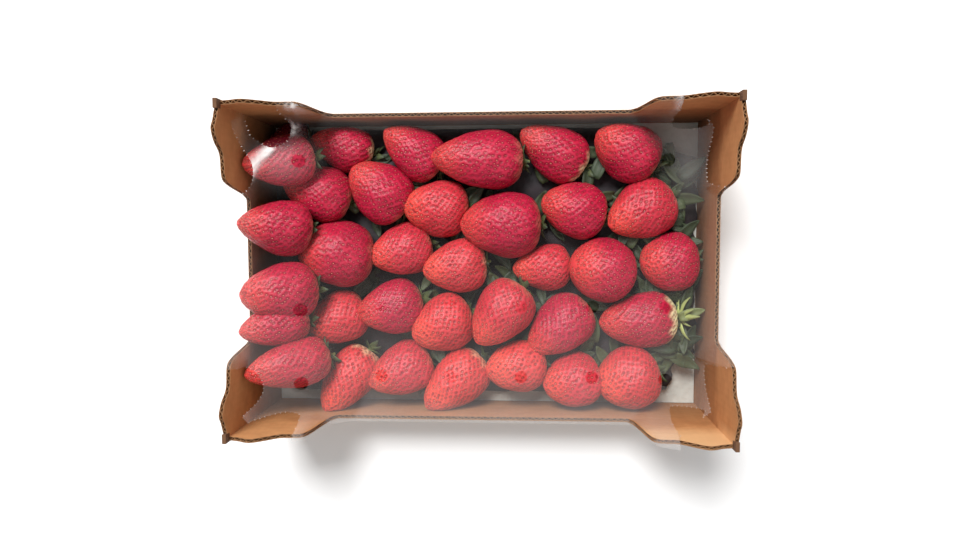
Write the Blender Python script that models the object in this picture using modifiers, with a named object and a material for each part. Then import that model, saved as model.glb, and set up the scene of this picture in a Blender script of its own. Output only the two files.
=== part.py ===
"""A tray of strawberries under clear film, as sold by the kilo.

A folded corrugated-card tray with four tall corners, a thin liner on its floor, one layer of large
strawberries lying on their sides, and a perforated film stretched over the top and down the walls.
Metres, +Z up. The origin is the middle of the tray's underside, and the long side lies along X.
"""

import math
import random

import bmesh
import bpy
from mathutils import Matrix, Vector

MM = 0.001

# Tray, folded from one sheet of card
TRAY_LENGTH = 300 * MM
TRAY_WIDTH = 200 * MM
BOARD = 2.5 * MM
FLOOR = 3 * MM
LONG_RIM = 45 * MM
END_RIM = 53 * MM
END_WALL_PROUD = 0.8 * MM
TUCK = 1 * MM

# Tall corners of the walls, from the corner inwards: distance along the wall and height, in mm
LONG_WALL_EAR = [(0, 92), (6, 93.5), (14, 96.5), (22, 92), (30, 86.5), (43, 84), (48, 65), (50.5, 52), (54, 45)]
END_WALL_EAR = [(5.6, 95.5), (11, 98), (16, 101), (23, 97), (30, 90), (43, 88), (47, 82), (50, 70), (52, 60), (55, 53)]
STACKING_LUG = [(-0.8, 84), (-1.8, 85), (-1.8, 96.5), (-1, 97.5), (5, 97.5)]

# Liner on the floor
GAP = 0.4 * MM
LINER_THICK = 1.2 * MM
LINER_INSET = 2 * MM
LINER_CORNER = 8 * MM

# Strawberries: middle x and y, length, width, heading of the tip, its rise, height off the liner,
# and how strongly the berry narrows to its tip. Lengths in mm, angles in degrees.
BERRIES = [
    (-128.5, 69, 49, 31, 190, 32, 20, 0.32),
    (-93.5, 80, 46, 30, 165, 22, 0, 0.30),
    (-45, 77.5, 48, 34, 145, 18, 0, 0.34),
    (0, 71, 65, 37, 178, 12, 7, 0.30),
    (48.5, 76.5, 53, 33, 150, 16, 1, 0.36),
    (96, 76, 48, 38, 150, 16, 0, 0.26),
    (-109, 50, 49, 37, 160, 24, 3, 0.30),
    (-68, 51, 49, 38, 140, 20, 0, 0.26),
    (-29.5, 39, 47, 37, 175, 18, 0, 0.24),
    (14.5, 28, 57, 44, 180, 12, 1, 0.24),
    (62, 38, 47, 37, 166, 18, 0, 0.24),
    (106, 37, 51, 37, 205, 18, 0, 0.32),
    (-131, 27, 48, 34, 172, 30, 22, 0.34),
    (-96.5, 9, 54, 46, 175, 20, 0, 0.12),
    (-54, 11, 46, 34, 195, 22, 0, 0.28),
    (-17, 0, 46, 34, 188, 20, 3, 0.30),
    (41.5, -1, 42, 31, 182, 14, 0, 0.30),
    (80.5, -2, 46, 44, 170, 25, 0, 0.10),
    (125, 3, 41, 38, 180, 18, 0, 0.16),
    (-128.5, -15, 52, 38, 182, 28, 23, 0.16),
    (-132, -36.5, 46, 28, 188, 26, 27, 0.20),
    (-99.5, -36, 48, 35, 202, 24, 0, 0.28),
    (-61, -28, 48, 35, 190, 22, 2, 0.30),
    (-26, -39, 46, 38, 203, 22, 0, 0.22),
    (13.5, -31, 52, 38, 230, 16, 4, 0.28),
    (53, -40, 53, 36, 218, 16, 0, 0.28),
    (106, -36, 56, 35, 183, 10, 2, 0.26),
    (-121.5, -62, 60, 31, 189, 30, 22, 0.34),
    (-91.5, -77, 55, 34, 235, 22, 0, 0.26),
    (-55, -71, 49, 34, 202, 22, 0, 0.30),
    (-17.5, -78.5, 55, 34, 220, 18, 0, 0.30),
    (24, -68, 44, 36, 185, 20, 0, 0.18),
    (61.5, -77, 42, 37, 190, 18, 0, 0.20),
    (99, -75, 45, 41, 196, 18, 0, 0.14),
]
STALKED_BERRY = 26
BERRY_ROUND = 11
BERRY_RINGS = 8
BERRY_LUMPS = 0.035
SHOULDER_SQUASH = 0.12
OVERHANG = 6 * MM

# Green cap of the one berry that shows it
LEAF_COUNT = 7
LEAF_LENGTH = 18 * MM
LEAF_WIDTH = 7 * MM
LEAF_THICK = 0.8 * MM
STALK_LENGTH = 13 * MM
STALK_WIDE = 2.4 * MM

# Fruit packed underneath, which joins the layer
CORE_LOW_X = -141 * MM
CORE_HIGH_X = 118 * MM
CORE_HALF_Y = 82 * MM
CORE_HEIGHT = 11 * MM
CORE_LEFT_RISE = 10 * MM
CORE_LUMPS = 2 * MM

# Film
FILM_THICK = 0.4 * MM
FILM_CELLS_X = 26
FILM_CELLS_Y = 18
FILM_HEM = 10 * MM
FILM_BULGE = 4 * MM
FILM_BULGE_ENDS = (-60 * MM, -48 * MM, 36 * MM, 48 * MM)
FILM_CREST_RADIUS = 80 * MM
FILM_CLEAR = 2 * MM
FILM_SOFTNESS = 0.8 * MM
TONGUE_RISE = 20 * MM
TONGUE_START = 24 * MM
TONGUE_END = 6 * MM
HOLE_WIDE = 8 * MM
HOLE_SIDES = 10
HOLE_COLUMNS = 6
HOLE_ROWS = 4
HOLE_FIRST = (-111 * MM, 68 * MM)
HOLE_PITCH = (45.8 * MM, 46.3 * MM)
OPENING_LOW = 38 * MM
# Plan of one corner opening, in mm inwards from the corner: x along the long wall, y along the end wall
OPENING_LONG_ARM = [(-6, -6), (57, -6), (57, 3.2), (49, 4), (47, 9), (42, 12.5), (36, 14), (26, 13.5)]
OPENING_TONGUE = [(10, 3), (3, 10)]
OPENING_END_ARM = [(13, 26), (13, 40), (12, 47), (9, 52), (3.6, 55), (3.2, 58), (-6, 58)]

CORNERS = [(-1, -1), (1, -1), (1, 1), (-1, 1)]


def clear_scene():
    for old in list(bpy.data.objects):
        bpy.data.objects.remove(old, do_unlink=True)


def new_collection(name):
    collection = bpy.data.collections.new(name)
    bpy.context.scene.collection.children.link(collection)
    return collection


def material(name, colour, roughness, alpha=1.0):
    made = bpy.data.materials.new(name)
    made.use_nodes = True
    shader = made.node_tree.nodes["Principled BSDF"]
    shader.inputs["Base Color"].default_value = (*colour, 1.0)
    shader.inputs["Roughness"].default_value = roughness
    shader.inputs["Metallic"].default_value = 0.0
    shader.inputs["Alpha"].default_value = alpha
    return made


def add_object(name, mesh, collection, finish=None):
    made = bpy.data.objects.new(name, mesh)
    collection.objects.link(made)
    if finish:
        mesh.materials.append(finish)
    return made


def object_from_bmesh(name, shape, collection, finish=None):
    mesh = bpy.data.meshes.new(name)
    shape.to_mesh(mesh)
    shape.free()
    return add_object(name, mesh, collection, finish)


def smoothstep(low, high, value):
    share = min(max((value - low) / (high - low), 0.0), 1.0)
    return share * share * (3.0 - 2.0 * share)


def curve_through(points, steps):
    """Points of a smooth curve through the given ones, with steps between each two of them."""
    ends = [Vector(points[0])] + [Vector(point) for point in points] + [Vector(points[-1])]
    line = []
    for before, start, end, after in zip(ends, ends[1:], ends[2:], ends[3:]):
        for step in range(steps):
            t = step / steps
            bend = (2 * before - 5 * start + 4 * end - after) * t * t
            twist = (3 * start - before - 3 * end + after) * t * t * t
            line.append((2 * start + (end - before) * t + bend + twist) / 2)
    line.append(ends[-2])
    return line


def apply_modifiers(obj):
    """Gives the object the mesh that its modifiers make, and removes them."""
    graph = bpy.context.evaluated_depsgraph_get()
    graph.update()
    mesh = bpy.data.meshes.new_from_object(obj.evaluated_get(graph))
    obj.modifiers.clear()
    obj.data = mesh


def plate(name, outline, thick, matrix, collection, finish=None):
    """A flat outline in XY, extruded by thick along +Z, then placed by the matrix."""
    curve = bpy.data.curves.new(name, "CURVE")
    curve.dimensions = "2D"
    curve.fill_mode = "BOTH"
    curve.extrude = thick / 2
    spline = curve.splines.new("POLY")
    spline.points.add(len(outline) - 1)
    for point, (x, y) in zip(spline.points, outline):
        point.co = (x, y, 0, 1)
    spline.use_cyclic_u = True
    outline_object = add_object(name + " outline", curve, collection)
    graph = bpy.context.evaluated_depsgraph_get()
    mesh = bpy.data.meshes.new_from_object(outline_object.evaluated_get(graph))
    bpy.data.objects.remove(outline_object)
    welded = bmesh.new()
    welded.from_mesh(mesh)
    bmesh.ops.remove_doubles(welded, verts=welded.verts, dist=0.01 * MM)
    bmesh.ops.recalc_face_normals(welded, faces=welded.faces)
    bmesh.ops.transform(welded, matrix=matrix @ Matrix.Translation((0, 0, thick / 2)), verts=welded.verts)
    welded.to_mesh(mesh)
    welded.free()
    return add_object(name, mesh, collection, finish)


def boolean(obj, operation, collection, solver):
    cut = obj.modifiers.new(operation.title(), "BOOLEAN")
    cut.operation = operation
    cut.operand_type = "COLLECTION"
    cut.collection = collection
    cut.solver = solver
    apply_modifiers(obj)
    for used in list(collection.objects):
        bpy.data.objects.remove(used)
    bpy.data.collections.remove(collection)


def wall_outline(half_length, proud, ear, rim, lug):
    """Outline of a wall seen square on: along it, and up. The ear stands at both ends."""
    curved = [Vector((distance * MM, height * MM)) for distance, height in lug]
    curved += [point * MM for point in curve_through(ear, 2)]
    left = [(-half_length - proud, 0)] + [(point.x - half_length, max(point.y, rim)) for point in curved]
    if not lug:
        left[1] = (-half_length - proud, left[1][1])
    return left + [(-along, height) for along, height in reversed(left)]


def make_walls(collection, grown=0.0):
    """The four walls. grown thickens them inwards and upwards, to cut the room that fruit leaves them."""
    thick = BOARD + grown
    end_half = TRAY_WIDTH / 2
    long_half = TRAY_LENGTH / 2 - TUCK
    ends = wall_outline(end_half, END_WALL_PROUD, END_WALL_EAR, END_RIM, STACKING_LUG)
    longs = wall_outline(long_half, 0.0, LONG_WALL_EAR, LONG_RIM, [])
    upright = Matrix.Rotation(math.pi / 2, 4, "X")
    raised = Matrix.Translation((0, 0, grown))
    for side in (-1, 1):
        facing = Matrix.Rotation(0 if side < 0 else math.pi, 4, "Z")
        place = facing @ Matrix.Translation((0, thick - TRAY_WIDTH / 2, 0)) @ raised @ upright
        plate("long wall", longs, thick, place, collection)
        facing = Matrix.Rotation(side * math.pi / 2, 4, "Z")
        place = facing @ Matrix.Translation((0, thick - TRAY_LENGTH / 2, 0)) @ raised @ upright
        plate("end wall", ends, thick, place, collection)


def make_tray(collection):
    half_x = TRAY_LENGTH / 2 - TUCK
    half_y = TRAY_WIDTH / 2 - TUCK
    sheet = [(-half_x, -half_y), (half_x, -half_y), (half_x, half_y), (-half_x, half_y)]
    kraft = material("kraft card", (0.42, 0.22, 0.09), 0.85)
    tray = plate("tray", sheet, FLOOR, Matrix.Identity(4), collection, kraft)
    walls = new_collection("tray walls")
    make_walls(walls)
    boolean(tray, "UNION", walls, "EXACT")
    return tray


def make_liner(collection):
    half_x = TRAY_LENGTH / 2 - BOARD - LINER_INSET - LINER_CORNER
    half_y = TRAY_WIDTH / 2 - BOARD - LINER_INSET - LINER_CORNER
    outline = []
    for quarter, (side_x, side_y) in enumerate([(1, 1), (-1, 1), (-1, -1), (1, -1)]):
        for step in range(5):
            angle = math.radians(90 * quarter + 22.5 * step)
            corner_x = side_x * half_x + LINER_CORNER * math.cos(angle)
            corner_y = side_y * half_y + LINER_CORNER * math.sin(angle)
            outline.append((corner_x, corner_y))
    place = Matrix.Translation((0, 0, FLOOR + GAP))
    return plate("liner", outline, LINER_THICK, place, collection, material("paper liner", (0.62, 0.66, 0.58), 0.7))


def berry_skin(direction, long, wide, taper, lump):
    """A unit direction's point on a berry that points its tip along +X, with its middle at the origin."""
    toward_tip = direction.x
    swing = math.atan2(direction.z, direction.y)
    uneven = 1 + BERRY_LUMPS * (math.cos(2 * swing + lump) + 0.6 * math.cos(3 * swing + 2.3 * lump) * toward_tip)
    around = wide / 2 * (1 - taper * toward_tip) * uneven
    along = long / 2 * toward_tip
    if toward_tip < 0:
        along *= 1 - SHOULDER_SQUASH * toward_tip * toward_tip
    return Vector((along, around * direction.y, around * direction.z))


def berry_shape(row, number):
    """A berry's mesh where it lies, and the matrix that laid it there."""
    x, y, long, wide, heading, rise, height, taper = row
    rest = FLOOR + GAP + LINER_THICK + GAP + height * MM
    turn = Matrix.Rotation(math.radians(heading), 4, "Z") @ Matrix.Rotation(-math.radians(rise), 4, "Y")
    shape = bmesh.new()
    bmesh.ops.create_uvsphere(shape, u_segments=BERRY_ROUND, v_segments=BERRY_RINGS, radius=1)
    bmesh.ops.rotate(shape, verts=shape.verts, matrix=Matrix.Rotation(math.pi / 2, 3, "Y"))
    for vert in shape.verts:
        vert.co = turn @ berry_skin(vert.co.normalized(), long * MM, wide * MM, taper, 1.7 * number)
    lowest = min(vert.co.z for vert in shape.verts)
    place = Matrix.Translation((x * MM, y * MM, rest - lowest)) @ turn
    bmesh.ops.translate(shape, verts=shape.verts, vec=(x * MM, y * MM, rest - lowest))
    return shape, place


def make_leaf(name, place, collection):
    """One pointed green leaf of a cap, along +X from the origin, wavy and thin."""
    leaf = bmesh.new()
    bmesh.ops.create_grid(leaf, x_segments=4, y_segments=2, size=1)
    for vert in leaf.verts:
        along = (vert.co.x + 1) / 2
        half = LEAF_WIDTH / 2 * math.sin(math.pi * min(0.25 + 0.72 * along, 1.0))
        curl = 0.35 * LEAF_LENGTH * along * along + 0.06 * LEAF_LENGTH * math.sin(7 * along)
        vert.co = Vector((along * LEAF_LENGTH, vert.co.y * half, curl + 0.3 * half * vert.co.y * vert.co.y))
    bmesh.ops.triangulate(leaf, faces=leaf.faces)
    bmesh.ops.solidify(leaf, geom=leaf.faces[:], thickness=LEAF_THICK)
    bmesh.ops.recalc_face_normals(leaf, faces=leaf.faces)
    bmesh.ops.transform(leaf, matrix=place, verts=leaf.verts)
    object_from_bmesh(name, leaf, collection)


def make_cap(berry_place, row, collection):
    """The cap of leaves and the stalk on a berry's shoulder."""
    shoulder = -row[2] / 2 * MM * (1 - SHOULDER_SQUASH)
    on_shoulder = berry_place @ Matrix.Translation((shoulder + 1.5 * MM, 0, 0))
    for number in range(LEAF_COUNT):
        around = Matrix.Rotation(2 * math.pi * number / LEAF_COUNT, 4, "X")
        outwards = Matrix.Rotation(math.radians(-60), 4, "Y")
        make_leaf("cap leaf", on_shoulder @ around @ outwards @ Matrix.Rotation(math.pi, 4, "Z"), collection)
    stalk = bmesh.new()
    half = STALK_WIDE / 2
    bmesh.ops.create_cone(stalk, cap_ends=True, segments=8, radius1=half, radius2=half, depth=STALK_LENGTH)
    place = on_shoulder @ Matrix.Rotation(math.pi / 2, 4, "Y") @ Matrix.Translation((0, 0, -STALK_LENGTH / 2))
    bmesh.ops.transform(stalk, matrix=place, verts=stalk.verts)
    object_from_bmesh("stalk", stalk, collection)


def make_core(collection, finish):
    """A low lumpy block under the fruit, higher at the left end, where the fruit leans on the wall."""
    draw = random.Random(5)
    core = bmesh.new()
    bmesh.ops.create_cube(core, size=1)
    sides = [edge for edge in core.edges if abs((edge.verts[0].co - edge.verts[1].co).z) < 0.5]
    bmesh.ops.subdivide_edges(core, edges=sides, cuts=7, use_grid_fill=True)
    length = CORE_HIGH_X - CORE_LOW_X
    low = FLOOR + GAP + LINER_THICK + GAP
    for vert in core.verts:
        x = CORE_LOW_X + (vert.co.x + 0.5) * length
        top = CORE_HEIGHT + CORE_LEFT_RISE * smoothstep(-95 * MM, -125 * MM, x) + CORE_LUMPS * draw.random()
        vert.co = Vector((x, vert.co.y * 2 * CORE_HALF_Y, low + (top if vert.co.z > 0 else 0)))
    return object_from_bmesh("strawberries", core, collection, finish)


def keep_largest_shell(obj):
    """Drops loose scraps, and the walls of hollows that were sealed inside."""
    shape = bmesh.new()
    shape.from_mesh(obj.data)
    unseen = set(shape.faces)
    shells = []
    while unseen:
        shell = set()
        edge_of_shell = [unseen.pop()]
        while edge_of_shell:
            face = edge_of_shell.pop()
            shell.add(face)
            for near in {near for edge in face.edges for near in edge.link_faces} & unseen:
                unseen.discard(near)
                edge_of_shell.append(near)
        shells.append(shell)
    largest = max(shells, key=len)
    bmesh.ops.delete(shape, geom=[face for face in shape.faces if face not in largest], context="FACES")
    shape.to_mesh(obj.data)
    shape.free()


def make_strawberries(collection):
    """The whole layer as one solid. Returns it with the highest point of each berry."""
    red = material("strawberry", (0.55, 0.03, 0.05), 0.4)
    heap = make_core(collection, red)
    pieces = new_collection("berries")
    crests = []
    for number, row in enumerate(BERRIES):
        shape, place = berry_shape(row, number)
        crests.append(max((vert.co for vert in shape.verts), key=lambda point: point.z).copy())
        object_from_bmesh("berry", shape, pieces)
        if number == STALKED_BERRY:
            make_cap(place, row, pieces)
    boolean(heap, "UNION", pieces, "MANIFOLD")
    walls = new_collection("room for the walls")
    make_walls(walls, grown=GAP)
    left_rim = TRAY_LENGTH / 2 - GAP
    outside = [(-left_rim - 2 * OVERHANG, -left_rim / 2), (-left_rim, -left_rim / 2),
               (-left_rim, left_rim / 2), (-left_rim - 2 * OVERHANG, left_rim / 2)]
    plate("room outside the left wall", outside, END_RIM + GAP, Matrix.Identity(4), walls)
    boolean(heap, "DIFFERENCE", walls, "MANIFOLD")
    keep_largest_shell(heap)
    heap.data.shade_smooth()
    heap.data.set_sharp_from_angle(angle=math.radians(50))
    return heap, crests


def film_height(x, y, crests):
    """Height of the film's underside: level with the rims, and lifted by each berry's crest."""
    rim = LONG_RIM + GAP + (END_RIM - LONG_RIM) * smoothstep(90 * MM, 138 * MM, abs(x))
    levels = [rim]
    for crest in crests:
        away = (x - crest.x) ** 2 + (y - crest.y) ** 2
        levels.append(crest.z + FILM_CLEAR - away / (2 * FILM_CREST_RADIUS))
    highest = max(levels)
    height = highest + FILM_SOFTNESS * math.log(sum(math.exp((level - highest) / FILM_SOFTNESS) for level in levels))
    into_corner = (TRAY_LENGTH / 2 - abs(x) + TRAY_WIDTH / 2 - abs(y)) / 2
    return height + TONGUE_RISE * smoothstep(TONGUE_START, TONGUE_END, into_corner)


def left_bulge(y):
    """How far the film stands out over the left rim, where tips of berries lie on it."""
    low_start, low_end, high_start, high_end = FILM_BULGE_ENDS
    return FILM_BULGE * smoothstep(low_start, low_end, y) * smoothstep(high_end, high_start, y)


def opening_outline(side_x, side_y):
    """Plan of the opening that a tall corner stands through, at the corner on the given sides."""
    plan = OPENING_LONG_ARM + OPENING_TONGUE + OPENING_END_ARM
    outline = []
    for along, across in plan:
        x = side_x * (TRAY_LENGTH / 2 - along * MM)
        y = side_y * (TRAY_WIDTH / 2 - across * MM)
        outline.append((x, y))
    return outline


def make_film(collection, crests):
    clear = material("clear film", (0.9, 0.92, 0.93), 0.15, alpha=0.2)
    half_x = TRAY_LENGTH / 2 + GAP
    half_y = TRAY_WIDTH / 2 + END_WALL_PROUD + GAP
    sheet = bmesh.new()
    bmesh.ops.create_grid(sheet, x_segments=FILM_CELLS_X, y_segments=FILM_CELLS_Y, size=1)
    for vert in sheet.verts:
        y = vert.co.y * half_y
        at_left = 1 if vert.co.x < -0.999 else 0
        x = vert.co.x * half_x - at_left * left_bulge(y)
        vert.co = Vector((x, y, film_height(x, y, crests)))
    border = [edge for edge in sheet.edges if edge.is_boundary]
    skirt = bmesh.ops.extrude_edge_only(sheet, edges=border)
    for vert in [item for item in skirt["geom"] if isinstance(item, bmesh.types.BMVert)]:
        vert.co.x = min(max(vert.co.x, -half_x), half_x)
        vert.co.z = FILM_HEM
    bmesh.ops.recalc_face_normals(sheet, faces=sheet.faces)
    film = object_from_bmesh("film", sheet, collection, clear)
    wall = film.modifiers.new("Thickness", "SOLIDIFY")
    wall.thickness = FILM_THICK
    wall.offset = 1
    apply_modifiers(film)
    cutters = new_collection("film openings")
    tall = 100 * MM
    for side_x, side_y in CORNERS:
        place = Matrix.Translation((0, 0, OPENING_LOW))
        plate("corner opening", opening_outline(side_x, side_y), tall, place, cutters)
    for column in range(HOLE_COLUMNS):
        for row in range(HOLE_ROWS):
            hole = bmesh.new()
            bmesh.ops.create_cone(hole, cap_ends=True, segments=HOLE_SIDES,
                                  radius1=HOLE_WIDE / 2, radius2=HOLE_WIDE / 2, depth=tall)
            x = HOLE_FIRST[0] + column * HOLE_PITCH[0]
            y = HOLE_FIRST[1] - row * HOLE_PITCH[1]
            bmesh.ops.translate(hole, verts=hole.verts, vec=(x, y, LONG_RIM / 2 + tall / 2))
            object_from_bmesh("hole", hole, cutters)
    boolean(film, "DIFFERENCE", cutters, "EXACT")
    keep_largest_shell(film)
    return film


def main():
    clear_scene()
    collection = new_collection("strawberry tray")
    make_tray(collection)
    make_liner(collection)
    crests = make_strawberries(collection)[1]
    make_film(collection, crests)


main()
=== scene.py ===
# %% [markdown]
# # A kilo tray of strawberries under film
# The object is a folded tray of corrugated card with four tall corners, one layer of large
# strawberries on a thin liner, and a clear perforated film stretched over them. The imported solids
# are loaded first: they say how big everything is and where it stands. Every piece made below stands
# in the same frame, in metres, with Z up and the origin under the middle of the tray.

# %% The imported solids
import contextlib
import math
import random

import bpy
import numpy as np
from mathutils import Matrix, Vector


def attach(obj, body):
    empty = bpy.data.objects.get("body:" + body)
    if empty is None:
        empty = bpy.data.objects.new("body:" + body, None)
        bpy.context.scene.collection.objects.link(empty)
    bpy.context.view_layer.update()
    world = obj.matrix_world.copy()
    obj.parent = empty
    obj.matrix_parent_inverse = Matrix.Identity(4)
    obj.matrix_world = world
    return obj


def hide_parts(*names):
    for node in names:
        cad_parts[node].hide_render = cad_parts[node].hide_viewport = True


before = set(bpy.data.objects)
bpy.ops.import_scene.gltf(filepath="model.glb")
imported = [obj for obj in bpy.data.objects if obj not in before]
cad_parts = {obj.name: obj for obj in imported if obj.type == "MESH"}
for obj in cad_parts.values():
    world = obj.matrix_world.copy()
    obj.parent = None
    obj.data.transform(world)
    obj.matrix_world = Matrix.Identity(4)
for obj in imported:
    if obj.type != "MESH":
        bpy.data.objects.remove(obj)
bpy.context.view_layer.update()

print("solids:", sorted(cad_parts))

# %% [markdown]
# ## Small tools
# A mesh is shaped here in two ways. Operators do what a hand would do in edit mode, and a formula
# moves all points of a grid or a sphere at once, which suits fruit and film, whose forms follow a rule.
# The helpers below read and write those points as arrays, store numbers with them for the finishes to
# read, and join and name the finished pieces.

# %% Tools for points, nodes and colours
MM = 0.001
# A Mix node's two colour sockets, by number, because it has several sockets with the same names
MIX_A, MIX_B = 6, 7


def only(obj):
    """Selects one object alone and makes it active."""
    bpy.ops.object.select_all(action="DESELECT")
    obj.select_set(True)
    bpy.context.view_layer.objects.active = obj


@contextlib.contextmanager
def edit_mode(obj):
    """Edit mode on one object, with all of it selected, for as long as the block under it runs."""
    only(obj)
    bpy.ops.object.mode_set(mode="EDIT")
    bpy.ops.mesh.select_all(action="SELECT")
    yield
    bpy.ops.object.mode_set(mode="OBJECT")


def new_object(name, data):
    made = bpy.data.objects.new(name, data)
    bpy.context.scene.collection.objects.link(made)
    return made


def points_of(obj):
    points = np.empty(len(obj.data.vertices) * 3)
    obj.data.vertices.foreach_get("co", points)
    return points.reshape(-1, 3)


def put_points(obj, points):
    obj.data.vertices.foreach_set("co", np.ascontiguousarray(points, dtype=float).ravel())
    obj.data.update()


def mark_points(mesh, name, amounts):
    """Stores a number from 0 to 1 with each point, for a finish to read."""
    layer = mesh.attributes.new(name, "FLOAT", "POINT")
    layer.data.foreach_set("value", np.clip(amounts, 0, 1))


def apply_modifiers(obj):
    only(obj)
    for modifier in list(obj.modifiers):
        bpy.ops.object.modifier_apply(modifier=modifier.name)


def thicken(obj, thick, offset=1.0, rim_slot=0):
    wall = obj.modifiers.new("Thickness", "SOLIDIFY")
    wall.thickness = thick
    wall.offset = offset
    wall.material_offset_rim = rim_slot
    apply_modifiers(obj)


def join(objects, name):
    bpy.ops.object.select_all(action="DESELECT")
    for obj in objects:
        obj.select_set(True)
    bpy.context.view_layer.objects.active = objects[0]
    if len(objects) > 1:
        bpy.ops.object.join()
    joined = objects[0]
    joined.name = name
    joined.data.name = name
    return joined


def grid(name, columns, rows):
    """A flat grid from -1 to 1 both ways, to be shaped by its points."""
    bpy.ops.object.select_all(action="DESELECT")
    bpy.ops.mesh.primitive_grid_add(x_subdivisions=columns, y_subdivisions=rows, size=2)
    made = bpy.context.object
    made.name = name
    return made


def linear(colour):
    """An sRGB hex colour as linear red, green, blue and alpha."""
    parts = [int(colour[place:place + 2], 16) / 255 for place in (1, 3, 5)]
    return [part / 12.92 if part <= 0.04045 else ((part + 0.055) / 1.055) ** 2.4 for part in parts] + [1.0]


def add_node(tree, kind, inputs=None, **settings):
    """Adds a node. inputs gives each socket a value, a hex colour, or a node or an output to link from."""
    made = tree.nodes.new("ShaderNode" + kind)
    for name, value in settings.items():
        setattr(made, name, value)
    for socket, value in (inputs or {}).items():
        if isinstance(value, bpy.types.Node):
            value = next(output for output in value.outputs if output.enabled)
        if isinstance(value, bpy.types.NodeSocket):
            tree.links.new(value, made.inputs[socket])
        else:
            made.inputs[socket].default_value = linear(value) if isinstance(value, str) else value
    return made


def new_material(name):
    made = bpy.data.materials.new(name)
    made.use_nodes = True
    made.node_tree.nodes.clear()
    return made, made.node_tree


def smooth_step(low, high, value):
    share = np.clip((value - low) / (high - low), 0.0, 1.0)
    return share * share * (3.0 - 2.0 * share)


def ripple(x, y, size, seed, waves=7):
    """Soft unevenness between about -1 and 1, whose swells are about size across."""
    draw = np.random.default_rng(seed)
    total = 0.0
    for _ in range(waves):
        way = draw.uniform(0, 2 * math.pi)
        length = size * draw.uniform(0.7, 1.6)
        start = draw.uniform(0, 2 * math.pi)
        total = total + np.sin(2 * math.pi * (x * math.cos(way) + y * math.sin(way)) / length + start)
    return total / math.sqrt(waves)


def finish(piece, slot, *nodes):
    """Lets a piece ride with the object, takes the place of solids and prints its triangle count."""
    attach(piece, "root")
    if nodes:
        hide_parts(*nodes)
    faces = sum(len(face.vertices) - 2 for face in piece.data.polygons)
    print(f"{piece.name}: {faces} triangles")


# %% [markdown]
# ## Camera, light and floor
# The photograph looks down on the tray from about half a metre, so the tall corners lean outwards in
# it. Its light comes from beyond the tray's far side: the far wall's inside lies in shade and the near
# wall's inside is lit. A broad lamp there and a pale surround give the same soft modelling.

# %% Camera, lamps and floor
EYE = (28.1 * MM, 28.4 * MM, 496.3 * MM)
EYE_TURN = [math.radians(angle) for angle in (-3.76, 3.54, -0.22)]
LENS, SENSOR = 26.25, 36.0
# Each lamp's place in metres, size and power
WINDOW = ((-0.62, 1.75, 2.6), 1.2, 130)
FILL_LIGHT = ((0.6, -0.8, 1.3), 1.5, 3)
SURROUND = 0.42

camera_data = bpy.data.cameras.new("camera")
camera_data.lens = LENS
camera_data.sensor_width = SENSOR
camera_data.clip_start = 0.01
camera = new_object("camera", camera_data)
camera.location = EYE
camera.rotation_euler = EYE_TURN
bpy.context.scene.camera = camera
bpy.context.scene.view_settings.view_transform = "Standard"


def lamp(name, place, size, watts):
    data = bpy.data.lights.new(name, "AREA")
    data.size = size
    data.energy = watts
    made = new_object(name, data)
    made.location = place
    made.rotation_euler = (-Vector(place)).to_track_quat("-Z", "Y").to_euler()


lamp("far window", *WINDOW)
lamp("fill", *FILL_LIGHT)

world = bpy.data.worlds.new("pale surround")
world.use_nodes = True
surround = world.node_tree.nodes["Background"]
surround.inputs["Color"].default_value = (1, 1, 1, 1)
surround.inputs["Strength"].default_value = SURROUND
bpy.context.scene.world = world

bpy.ops.object.select_all(action="DESELECT")
bpy.ops.mesh.primitive_plane_add(size=6, location=(0, 0, 0))
floor = bpy.context.object
floor.name = "floor"
# Matt white paint gives the eye nothing but the tray's shadow
painted, tree = new_material("matt white paint")
shader = add_node(tree, "BsdfPrincipled", {"Base Color": "#F6F6F6", "Roughness": 0.9})
add_node(tree, "OutputMaterial", {"Surface": shader})
floor.data.materials.append(painted)

# %% [markdown]
# ## Sizes of the real thing
# These are the tray's and the fruit's own measures. The card is single-wall corrugated board 2.5 mm
# thick. Each tall corner is given by a few points of its outline, measured from the corner inwards,
# and a smooth curve runs through them.

# %% Measures of the tray
TRAY_LENGTH, TRAY_WIDTH = 300 * MM, 200 * MM
BOARD, FLOOR = 2.5 * MM, 3 * MM
LONG_RIM, END_RIM = 45 * MM, 53 * MM
END_WALL_PROUD, TUCK = 0.8 * MM, 1 * MM
LONG_WALL_EAR = [(0, 92), (6, 93.5), (14, 96.5), (22, 92), (30, 86.5), (43, 84), (48, 65), (50.5, 52),
                 (54, 45)]
END_WALL_EAR = [(-0.8, 92.5), (5, 95.5), (11, 98), (16, 100.5), (23, 97), (30, 90), (43, 88), (47, 82),
                (50, 70), (52, 60), (55, 53)]
LUG_REACH, LUG_PROUD, LUG_TOP, LUG_LOW = 4 * MM, 1.8 * MM, 97.5 * MM, 84 * MM
LEAN, LEAN_FROM, LEAN_TO = 1.2 * MM, 50 * MM, 100 * MM
FLOOR_INSET, FLOOR_EDGE = 1.5 * MM, 0.8 * MM


def curve_points(points, steps=8):
    """Points on the smooth curve that runs through the given ones."""
    ends = np.array([points[0]] + list(points) + [points[-1]], float)
    line = []
    for before, start, end, after in zip(ends, ends[1:], ends[2:], ends[3:]):
        for t in np.arange(steps) / steps:
            bend = (2 * before - 5 * start + 4 * end - after) * t * t
            twist = (3 * start - before - 3 * end + after) * t ** 3
            line.append((2 * start + (end - before) * t + bend + twist) / 2)
    return np.array(line + [ends[-2]])


def wall_top(distance, ear, rim):
    """Height of a wall at a distance from its corner."""
    line = curve_points(ear) * MM
    return np.maximum(np.interp(distance, np.maximum.accumulate(line[:, 0]), line[:, 1]), rim)


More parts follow.
